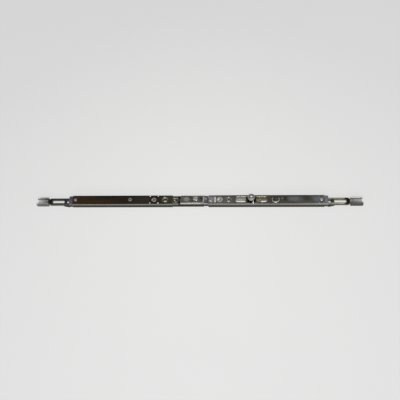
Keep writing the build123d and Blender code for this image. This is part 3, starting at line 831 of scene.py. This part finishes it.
@dataclass
class SheetWork:
    """The faceplates, the lever housing and the guide shoe."""

    shop: Workshop
    plate: PlatedSteel = PlatedSteel(
        name="faceplate_zinc",
        tone="4a473f",
        shade="211c16",
        roughness=0.30,
        wear=0.7,
        # Little edge brightening on the far side: painted shade.
        far_wear_in_shade=0.1,
        mottling=0.2,
        stops=(
            (0.00, "3f2f17"),
            (0.14, "281d10"),
            (0.22, "2a2117"),
            (0.30, "352f25"),
            (0.36, "2b2720"),
            (0.47, "4f4e45"),
            (0.58, "6c6b66"),
            (0.80, "504e45"),
            (1.00, "5e5e60"),
        ),
        side_tone="5b5a53",
        side_share=0.7,
        outer_y=7.6 * MM,
        fold_y=-8.0 * MM,
        # Painted highlight along the near fold.
        fold_highlight_share=0.8,
        fold_highlight_tone="8f8e85",
        band_z=(7.7 * MM, 9.5 * MM),
        # Painted shade below this level.
        step_z=7.0 * MM,
        top_touches=(
            # Painted light on the cam slot's far wall, in two parts.
            Touch(69.5, 4.9, 9.0, 0.7, "929185", 0.8, 0.7, square=True),
            Touch(102.5, 4.9, 9.0, 0.7, "8b8a76", 0.8, 0.7, square=True),
            # Painted shade along the right near rim.
            Touch(80.0, -7.3, 122.0, 0.6, "38372f", 0.65, 0.5, square=True),
            # Painted highlight: the light streak below the cam.
            Touch(88.9, -6.5, 1.2, 1.35, "e9e9e2", 0.8, 0.4),
            # Painted shade along the left near rim.
            Touch(-118.0, -7.3, 81.0, 0.6, "1a1711", 0.6, 0.5, square=True),
            # Painted shade on the far sides of the screw holes' countersinks.
            Touch(50.0, 3.4, 4.4, 2.0, "4a4942", 0.75),
            Touch(-50.0, 3.4, 4.4, 2.0, "56553f", 0.6),
        ),
        touches=(
            # Painted shade along the left far edge.
            Touch(-118.0, 6.9, 81.0, 1.8, "0a0907", 0.9, square=True),
            Touch(-152.0, -3.0, 34.0, 4.5, "46301f", 0.5, 0.3),
            Touch(-48.0, 0.0, 12.0, 8.5, "3d3d28", 0.65, 0.4),
            Touch(-105.7, 0.0, 3.0, 3.0, "9d9c97", 0.8, 0.9, hole=0.55),
            Touch(-67.4, 0.0, 7.5, 7.8, "17160f", 0.6, 0.4),
            # Painted light on the screw holes' countersinks.
            Touch(-50.0, 0.0, 5.1, 5.1, "86856f", 0.6, 0.9, hole=0.5),
            Touch(50.0, 0.0, 5.1, 5.1, "8d8c87", 0.6, 0.9, hole=0.5),
            # Painted highlights on the near sides of the screw holes.
            Touch(-49.7, -3.6, 3.6, 1.5, "f2f1e6", 0.95),
            Touch(50.3, -3.6, 3.6, 1.5, "f2f1ea", 0.95),
            Touch(22.0, 0.0, 9.0, 8.0, "9c9ba2", 0.55, 0.4),
            # Painted highlight on the pressed rib.
            Touch(29.0, 0.0, 1.5, 4.9, "f0efec", 0.95, 0.85, square=True),
            Touch(124.0, 0.0, 17.0, 8.5, "37372a", 0.5, 0.5),
            # Painted dark reflection.
            Touch(139.0, 1.0, 5.0, 6.0, "24231a", 0.7, 0.3),
            Touch(152.0, 1.0, 14.0, 6.0, "7e7d84", 0.6, 0.3),
            Touch(172.0, 2.0, 9.0, 7.0, "3d3729", 0.65, 0.4),
            Touch(187.0, 0.0, 8.0, 8.0, "7d7f84", 0.5, 0.3),
            # Painted shade along the right far edge.
            Touch(112.0, 6.9, 87.0, 1.8, "1a1915", 0.85, square=True),
            Touch(19.2, 0.8, 1.3, 1.8, "0d0c0a", 0.85, 0.4),
            Touch(133.5, 1.5, 2.2, 2.0, "8b8a78", 0.7, 0.3),
            # Painted glints on the stake marks around the guide rivet.
            *(
                Touch(-67.4 + way * 6.4, side * 6.3, 1.2, 1.2, "d5d3ca", 0.9, 0.7)
                for way in (-1, 1)
                for side in (-1, 1)
            ),
        ),
    )
    pressed: PlatedSteel = PlatedSteel(
        name="pressed_zinc",
        tone="64625b",
        shade="45433d",
        roughness=0.36,
        side_share=0.5,
        fold_y=-8.0 * MM,
        # Painted highlight along the near fold.
        fold_highlight_share=0.9,
        # Painted shade below this level.
        step_z=6.8 * MM,
        touches=(
            # Painted highlights in a T on the bridge.
            Touch(-33.5, 1.8, 4.0, 1.4, "b9b89c", 0.85, square=True),
            Touch(-33.0, -2.0, 1.3, 3.6, "a5a48c", 0.8, square=True),
            # Painted shade in the gap before the rocker.
            Touch(-27.0, 0.0, 3.0, 8.5, "0f0e0b", 0.9, square=True),
        ),
        # Painted shade, near black, in the same gap.
        top_touches=(Touch(-27.4, 0.0, 1.7, 8.5, "050504", 0.98, 0.8, square=True),),
    )

    def build(self) -> None:
        """Dress the sheet parts."""
        shop = self.shop
        plate = self.plate.material()
        pressed = self.pressed.material()
        for node in ("faceplate_left", "faceplate_right"):
            shop.dress(node, Rounding.ROLLED, Body.RAIL, "faceplate", plate)
        for node in ("lever_housing", "guide_shoe"):
            shop.dress(node, Rounding.PRESSED, Body.RAIL, "housing", pressed)


@dataclass
class EndWork:
    """The end guides and the slide blocks."""

    shop: Workshop
    cast_left: CastZinc = CastZinc(
        name="cast_zinc_left", tone="5f5975", shade="4b475e", near="66686a"
    )
    cast_right: CastZinc = CastZinc(
        name="cast_zinc_right", tone="7a7a84", shade="66666e", near="86888a"
    )
    block: MouldedPlastic = MouldedPlastic(
        name="black_plastic", tone="121214", shade="1d1d1f", scuffed="4a4a4c"
    )

    def build(self) -> None:
        """Dress the end pieces."""
        shop = self.shop
        block = self.block.material()
        casts = {"left": self.cast_left.material(), "right": self.cast_right.material()}
        for side, cast in casts.items():
            shop.dress("end_guide_" + side, Rounding.CAST, Body.RAIL, "end_guide", cast)
            shop.dress("slide_block_" + side, Rounding.SMALL, Body.RAIL, "slide_block", block)


@dataclass
class RodWork:
    """The drive rod, its coupling claws and their rivets."""

    shop: Workshop
    bar: PlatedSteel = PlatedSteel(
        name="rod_zinc",
        tone="6e6c66",
        shade="3a3833",
        roughness=0.33,
        reach=240 * MM,
        stops=((0.0, "2f2e2a"), (0.35, "5a5952"), (1.0, "9d9b82")),
        side_tone="45443b",
        side_share=0.95,
        touches=(
            # Painted light on the rod under the cam slot, in two parts.
            Touch(69.0, 1.0, 10.0, 6.0, "f1efe4", 0.95, 0.9, square=True),
            Touch(103.0, 1.0, 9.0, 6.0, "94937c", 0.8, 0.8, square=True),
            # Painted shade on the rod under the cam.
            Touch(84.8, 0.0, 9.0, 8.0, "060605", 0.97, 0.8, square=True),
            # Painted shade at the left loop's end.
            Touch(-235.0, 0.0, 4.0, 7.0, "14130f", 0.8, 0.5, square=True),
            Touch(98.5, 1.5, 4.0, 5.0, "8f7566", 0.6, 0.3),
            # Painted shade at the right loop's root.
            Touch(233.4, 0.0, 4.2, 7.0, "050504", 0.97, 0.9, square=True),
        ),
        top_touches=(
            # Painted light on the rod's ends inside the claws.
            Touch(244.5, 0.0, 6.0, 7.0, "a3a3a1", 0.85, 0.8, square=True),
            Touch(-245.0, 0.0, 5.0, 7.0, "a9a9a8", 0.8, 0.7, square=True),
            # Painted shade on the slots' far walls.
            Touch(69.0, 2.8, 8.0, 0.6, "87867a", 0.9, 0.8, square=True),
            Touch(218.5, 2.9, 10.0, 0.6, "68675c", 0.9, 0.85, square=True),
            # Painted highlight along the right loop's near bar.
            Touch(220.5, -4.7, 9.0, 0.8, "b5b49f", 0.65, 0.7, square=True),
        ),
    )
    claw_left: PlatedSteel = PlatedSteel(
        name="claw_left_zinc",
        tone="8d8d8c",
        shade="6a6a69",
        roughness=0.46,
        metallic=0.45,
        grain=Grain.NONE,
        recess_shade_share=0.25,
        reach=260 * MM,
        # Lighter towards the outer end: painted light.
        stops=((0.0, "dededf"), (0.014, "d2d2d3"), (0.034, "8b8a83"), (1.0, "8b8a83")),
        side_tone="4a4a47",
        side_share=0.9,
        outer_y=5.4 * MM,
        inner_z=5.4 * MM,
        # Inner sides black: painted shade.
        inner_shade_share=1.0,
        touches=(
            # Painted shade on the far wall's edge and on the near wall.
            Touch(-244.8, 5.4, 8.0, 1.4, "2f2f33", 0.85, square=True),
            Touch(-246.5, -5.0, 9.0, 1.5, "6f6f68", 0.7, square=True),
        ),
    )
    claw_right: PlatedSteel = PlatedSteel(
        name="claw_right_zinc",
        # Lighter than the left claw: painted light.
        tone="b4b4b2",
        shade="8a8a88",
        roughness=0.46,
        metallic=0.45,
        grain=Grain.NONE,
        recess_shade_share=0.25,
        side_tone="2a2a29",
        side_share=0.85,
        outer_y=5.4 * MM,
        inner_z=5.6 * MM,
        # Inner sides black: painted shade.
        inner_shade_share=1.0,
        touches=(
            # Painted shade at the neck, with painted shade and light on the walls.
            Touch(236.0, 0.0, 4.5, 7.0, "1a1916", 0.9, square=True),
            Touch(248.0, -4.9, 12.0, 1.6, "4c4c4b", 0.85, 0.8, square=True),
            Touch(248.0, 5.0, 12.0, 1.6, "d9d9d8", 0.85, 0.8, square=True),
        ),
    )
    rivet: PlatedSteel = PlatedSteel(
        name="rivet_zinc",
        tone="a8a69e",
        shade="6b6963",
        roughness=0.36,
        grain=Grain.NONE,
        touches=(
            Touch(-67.4, 0.0, 5.0, 5.0, "7d7c74", 0.7, 0.8),
            # Painted glint on the guide rivet.
            Touch(-71.2, -0.6, 1.9, 1.5, "fbfbf4", 0.95, 0.5),
            # Painted shade in its middle.
            Touch(-67.0, -0.5, 1.8, 1.6, "2c2b25", 0.8, 0.5),
            Touch(22.7, 0.0, 5.0, 5.0, "85838b", 0.75, 0.8),
            # Painted glint beside the middle rivet.
            Touch(21.0, -3.2, 1.6, 1.3, "f3f1f4", 0.85, 0.4),
        ),
    )
    rail_rivets: tuple[str, ...] = (
        "end_rivet_left",
        "end_rivet_right",
        "guide_rivet_left",
        "guide_rivet_middle",
        "rocker_pin",
        "spring_rivet",
    )

    def build(self) -> None:
        """Dress the rod's pieces."""
        shop = self.shop
        bar = self.bar.material()
        claws = {"left": self.claw_left.material(), "right": self.claw_right.material()}
        rivet = self.rivet.material()
        shop.dress("drive_rod", Rounding.ROLLED, Body.ROD, "rod", bar)
        for side, claw in claws.items():
            shop.dress("coupling_claw_" + side, Rounding.COINED, Body.ROD, "claw", claw)
        shop.dress("claw_rivets", Rounding.SMALL, Body.ROD, "rivet", rivet)
        for node in self.rail_rivets:
            shop.dress(node, Rounding.SMALL, Body.RAIL, "rivet", rivet)
        shop.dress("rocker_peg", Rounding.SMALL, Body.ROCKER, "rivet", rivet)


@dataclass
class CamWork:
    """The mushroom cam: pin, slider and roller. Its sizes are millimetres."""

    shop: Workshop
    pin_radius: float = 2.5
    pin_head: float = 3.3
    pin_tail: float = 3.6
    pin_tail_height: float = 0.8
    pin_head_height: float = 0.9
    pin_head_side: float = 0.15
    play: float = 0.1
    neck_radius: float = 4.0
    neck_height: float = 1.9
    cone_height: float = 1.0
    head_radius: float = 5.7
    rim_inset: float = 0.15
    rim_half: float = 0.1
    centre_radius: float = 1.1
    centre_depth: float = 0.6
    centre_wall: tuple[float, float] = (0.6, 0.7)
    crown: float = 0.8
    crown_steps: int = 8

    def dome(self, rim: float, foot: float, top: float, inner: float) -> Outline:
        """Give the outline of a dome, from its rim to its inner end.

        Args:
            rim: Radius at the rim.
            foot: Level of the rim.
            top: Level of the top.
            inner: Radius at the inner end.

        Returns:
            Radius and level of each point.
        """
        return [
            (inner + (rim - inner) * math.cos(turn), foot + (top - foot) * math.sin(turn))
            for turn in quarter_turn(self.crown_steps)
        ]

    @staticmethod
    def levels(node: str) -> tuple[float, float]:
        """Read the lowest and the highest level of a node, in millimetres."""
        low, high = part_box(node)
        return low[2] / MM, high[2] / MM

    def pin(self, middle: float) -> bmesh.types.BMesh:
        """Turn the pin, with its riveted tail and domed head.

        Args:
            middle: Place of the axis along the faceplate.

        Returns:
            The new shape.
        """
        bottom, top = self.levels("cam_pin")
        neck = top - self.pin_head_height
        outline = [
            (0.0, bottom),
            (self.pin_radius, bottom),
            (self.pin_tail, bottom + self.pin_tail_height),
            (self.pin_radius, bottom + self.pin_tail_height),
            (self.pin_radius, neck),
            (self.pin_head, neck),
        ]
        side = neck + self.pin_head_side
        wall_radius, wall_depth = self.centre_wall
        outline += self.dome(self.pin_head, side, top, self.centre_radius)
        outline += [
            (self.centre_radius * wall_radius, top - self.centre_depth * wall_depth),
            (0.0, top - self.centre_depth),
        ]
        return self.shop.turned(middle, outline)

    def roller(self, middle: float) -> bmesh.types.BMesh:
        """Turn the mushroom head with its crowned rim and bore.

        Args:
            middle: Place of the axis along the faceplate.

        Returns:
            The new shape.
        """
        bottom, top = self.levels("cam_roller")
        bore = self.pin_radius + self.play
        wide_bore = self.pin_head + self.play
        shoulder = self.levels("cam_pin")[1] - self.pin_head_height - self.play
        rim = bottom + self.neck_height + self.cone_height
        outline = [
            (bore, bottom),
            (self.neck_radius, bottom),
            (self.neck_radius, bottom + self.neck_height),
            (self.head_radius - self.rim_inset, rim - self.rim_half),
            (self.head_radius, rim + self.rim_half),
        ]
        outline += self.dome(self.head_radius, top - self.crown, top, wide_bore)
        outline += [(wide_bore, shoulder), (bore, shoulder), (bore, bottom)]
        return self.shop.turned(middle, outline)

    def build(self) -> None:
        """Dress the cam's pieces."""
        low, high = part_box("cam_roller")
        middle = (low[0] + high[0]) / 2
        centre = middle / MM
        bright = TurnedSteel(
            name="cam_steel",
            tone="94918d",
            shade="6e6c68",
            axis_x=middle,
            metallic=0.7,
            roughness=0.44,
            touches=(
                # Painted glint on the head's middle.
                Touch(centre + 0.4, 0.3, 2.0, 1.6, "fdfdfb", 0.95, 0.3),
                # Painted shade on two sides of the head.
                Touch(centre - 3.6, -2.6, 2.4, 2.0, "6a6965", 0.7, 0.3),
                Touch(centre + 3.9, 2.2, 1.6, 2.4, "6e6c68", 0.6, 0.3),
            ),
        ).material()
        # Near-black slider: painted shade under the cam head.
        slider_in_painted_shade = PlatedSteel(
            name="slider_steel",
            tone="060606",
            shade="040404",
            roughness=0.38,
            grain=Grain.NONE,
            metallic=0.9,
            wear=0.2,
            # Painted highlight: the light streak on the slider.
            touches=(Touch(88.4, -4.8, 1.3, 3.0, "f6f6f0", 0.95, 0.5),),
        ).material()
        self.shop.hand_over(self.pin(middle), "cam_pin", Body.ROD, "cam", bright)
        self.shop.dress("cam_slider", Rounding.PRESSED, Body.ROD, "cam_slider", slider_in_painted_shade)
        self.shop.hand_over(self.roller(middle), "cam_roller", Body.CAM, "cam", bright)


@dataclass
class LeverWork:
    """The rocker lever and its leaf spring."""

    shop: Workshop
    sheet: PlatedSteel = PlatedSteel(
        name="lever_zinc",
        tone="656460",
        shade="403f3a",
        roughness=0.33,
        side_tone="56554e",
        side_share=0.5,
        # Painted highlight along the near fold.
        fold_highlight_share=0.9,
        fold_reach=1.0 * MM,
        fold_highlight_tone="e3e2df",
        band_z=(8.9 * MM, 10.7 * MM),
        touches=(
            # Painted highlight on the raised pad.
            Touch(-15.5, 0.5, 6.5, 5.0, "a3a29c", 0.6, 0.3),
            # Painted shade in the recess.
            Touch(-9.5, 3.6, 3.4, 2.4, "1b1a17", 0.85, 0.5),
            # Painted highlights and glints on the boss.
            Touch(-2.0, 1.0, 5.5, 5.0, "bab9b2", 0.7, 0.3),
            Touch(-4.4, -0.9, 1.5, 1.4, "f4f3f0", 0.9, 0.5),
            Touch(-0.3, 2.8, 2.0, 1.2, "d6d5ce", 0.8, 0.4),
            # Painted shade in a hole.
            Touch(7.0, 1.5, 3.0, 2.0, "11100e", 0.85, 0.4),
            Touch(13.5, 0.5, 4.5, 6.0, "7f7d82", 0.6, 0.4),
            # Painted highlight on the bend.
            Touch(10.8, 0.0, 1.0, 6.5, "c4c2c4", 0.8, 0.5, square=True),
            Touch(14.2, 1.6, 2.2, 1.7, "b5b3b8", 0.8, 0.4),
            # Painted shade in the crease between pad and boss and in a small hole.
            Touch(-5.9, 0.0, 0.9, 5.0, "1b1a17", 0.75, 0.5, square=True),
            Touch(2.6, 0.6, 1.3, 1.5, "1b1a17", 0.8, 0.4),
        ),
        top_touches=(
            # Dims the painted fold highlight on the tail.
            Touch(12.5, -7.0, 6.5, 1.6, "6f6e69", 0.8, 0.7, square=True),
            Touch(-2.5, 5.8, 7.0, 1.3, "9b9a96", 0.5, 0.5, square=True),
            Touch(-17.5, 5.8, 6.0, 1.6, "2b2a26", 0.6, square=True),
        ),
    )
    pressed_share: float = 0.38
    spring: PlatedSteel = PlatedSteel(
        name="spring_steel", tone="4a4a42", shade="33332d", worn="8d8d86", roughness=0.30
    )

    def build(self) -> None:
        """Dress the lever's pieces."""
        shop = self.shop
        sheet = replace(self.sheet, fold_y=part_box("rocker_lever")[0][1]).material()
        leaf = self.spring.material()
        shop.dress("rocker_lever", Rounding.PRESSED, Body.ROCKER, "lever", sheet)
        spring = shop.dress("leaf_spring", Rounding.SPRING, Body.RAIL, "spring", leaf)
        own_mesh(spring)


@dataclass
class Fittings:
    """The guide screw and the centring plug in the right faceplate."""

    shop: Workshop
    screw: PlatedSteel = PlatedSteel(
        name="screw_zinc",
        tone="4a483f",
        shade="33322b",
        roughness=0.42,
        grain=Grain.NONE,
        wear=0.9,
        touches=(
            # Painted highlight on the near rim.
            Touch(123.2, -0.6, 6.6, 6.0, "98978a", 0.9, 0.95, hole=0.78),
            # Painted shade on the far part of the rim.
            Touch(123.2, 5.0, 7.0, 4.4, "2f2e25", 0.9),
            Touch(125.5, 2.5, 2.0, 1.6, "15140f", 0.8, 0.4),
            Touch(120.5, -1.0, 2.2, 1.4, "1d1c16", 0.6, 0.3),
        ),
    )
    plug: MouldedPlastic = MouldedPlastic(
        name="grey_plastic",
        tone="7e7d7b",
        shade="6d6c6b",
        scuffed="b4b4b3",
        roughness=0.32,
        touches=(
            # Painted glint on the dome.
            Touch(34.6, 0.4, 1.0, 1.8, "fbfbfa", 0.9, 0.4),
            Touch(36.2, 0.0, 4.9, 4.9, "a3a2a4", 0.6, 0.9, hole=0.7),
        ),
    )

    def build(self) -> None:
        """Dress the fittings."""
        shop = self.shop
        screw = self.screw.material()
        plug = self.plug.material()
        shop.dress("guide_screw", Rounding.SMALL, Body.RAIL, "screw", screw)
        shop.dress("centring_plug", Rounding.SMALL, Body.RAIL, "plug", plug)


@dataclass(frozen=True)
class Lamp:
    """A soft lamp that faces the middle of the object, with its power in watts."""

    name: str
    place: tuple[float, float, float]
    size: tuple[float, float]
    power: float

    def hang(self) -> None:
        """Put the lamp up."""
        light = bpy.data.lights.new(self.name, "AREA")
        light.shape = "RECTANGLE"
        light.size, light.size_y = self.size
        light.energy = self.power
        lamp = added(self.name, light)
        lamp.location = self.place
        lamp.rotation_euler = (-Vector(self.place)).to_track_quat("-Z", "Y").to_euler()


@dataclass(frozen=True)
class Studio:
    """The pale floor, the soft lamps and the camera."""

    azimuth: float = math.radians(8.79)
    elevation: float = math.radians(58.66)
    roll: float = math.radians(-7.69)
    distance: float = 1.0
    target: tuple[float, float, float] = (5.33 * MM, -1.0 * MM, 11.0 * MM)
    lens: float = 57.44
    clip: tuple[float, float] = (0.01, 50.0)
    floor_radius: float = 12.0
    cove_radius: float = 2.5
    cove_top: float = 4.2
    cove_steps: int = 8
    floor_steps: int = 64
    floor_tone: str = "dcdcdc"
    floor_shade: str = "dadada"
    glow_near: str = "e6e6e5"
    glow_far: str = "dbdbdb"
    glow_reach: tuple[float, float] = (0.05, 0.42)
    glow_share: float = 0.78
    world_tone: str = "e6e6e6"
    world_strength: float = 0.42
    lamps: tuple[Lamp, ...] = (
        Lamp("key_softbox", (0.15, -0.80, 1.30), (1.0, 0.7), 18.0),
        Lamp("front_softbox", (0.0, -1.20, 0.60), (2.8, 0.4), 13.0),
    )

    def floor_mesh(self) -> bpy.types.Mesh:
        """Shape the floor, which turns up all round so that no horizon shows.

        Returns:
            The floor's mesh, without a material.
        """
        foot = self.floor_radius - self.cove_radius
        cove = [
            (foot + self.cove_radius * math.sin(turn), self.cove_radius * (1 - math.cos(turn)))
            for turn in quarter_turn(self.cove_steps)
        ]
        outline = [(0.0, 0.0), *cove, (self.floor_radius, self.cove_top)]
        mesh = spun(outline, self.floor_steps, MM)
        for face in mesh.faces:
            face.smooth = True
        return settled(mesh, "floor_mesh")

    def paper(self) -> bpy.types.Material:
        """Build the floor's paper, which glows a little where it is seen or mirrored.

        Returns:
            The finished material.
        """
        graph = Graph("floor_paper")
        cloud = graph.spread(graph.noise(Fineness.PAPER, 2.0), 0.3, 0.7)
        plain = graph.mix(cloud, linear(self.floor_tone), linear(self.floor_shade))
        material = graph.finish(Base_Color=plain, Roughness=0.9, Specular_IOR_Level=0.1)
        seen = 0.0
        for ray in ("Is Camera Ray", "Is Glossy Ray", "Is Transmission Ray"):
            seen = graph.maths("MAXIMUM", seen, graph.add("LightPath", {}, output=ray))
        away = graph.add("VectorMath", {0: graph.place}, output="Value", operation="LENGTH")
        fade = graph.spread(away, *self.glow_reach)
        tone = graph.mix(fade, linear(self.glow_near), linear(self.glow_far))
        glow = graph.add("Emission", {"Color": tone, "Strength": 1.0})
        share = graph.product(seen, self.glow_share)
        both = graph.add("MixShader", {0: share, 1: graph.shader.outputs[0], 2: glow})
        graph.tree.links.new(both, graph.output.inputs[0])
        return material

    def floor(self) -> None:
        """Lay the pale floor."""
        data = self.floor_mesh()
        data.materials.append(self.paper())
        floor = added("floor", data)

    def world(self) -> None:
        """Fill the surroundings with plain pale light."""
        world = bpy.data.worlds.new("surroundings")
        world.use_nodes = True
        background = world.node_tree.nodes["Background"]
        background.inputs["Color"].default_value = linear(self.world_tone)
        background.inputs["Strength"].default_value = self.world_strength
        bpy.context.scene.world = world

    def camera(self) -> None:
        """Set the camera where the photograph was taken from."""
        towards = Vector((
            math.sin(self.azimuth) * math.cos(self.elevation),
            -math.cos(self.azimuth) * math.cos(self.elevation),
            math.sin(self.elevation),
        ))
        level = Vector((0.0, 0.0, 1.0)).cross(towards).normalized()
        upright = towards.cross(level)
        right = level * math.cos(self.roll) + upright * math.sin(self.roll)
        up = upright * math.cos(self.roll) - level * math.sin(self.roll)
        lens = bpy.data.cameras.new("camera")
        lens.lens = self.lens
        lens.clip_start, lens.clip_end = self.clip
        camera = added("camera", lens)
        turn = Matrix((right, up, towards)).transposed().to_4x4()
        place = Vector(self.target) + towards * self.distance
        camera.matrix_world = Matrix.Translation(place) @ turn
        bpy.context.scene.camera = camera

    def build(self) -> None:
        """Set up everything round the object."""
        self.floor()
        self.world()
        for lamp in self.lamps:
            lamp.hang()
        self.camera()
        bpy.context.scene.view_settings.view_transform = "Standard"


def main() -> None:
    """Build the sub-assemblies in order."""
    logging.basicConfig(level=logging.INFO, format="%(name)s: %(message)s")
    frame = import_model()
    shop = Workshop(frame)
    for work in (SheetWork, EndWork, RodWork, CamWork, LeverWork, Fittings):
        work(shop).build()
    Studio().build()
    LOG.info("%d pieces", len(shop.made))


if __name__ == "__main__":
    main()
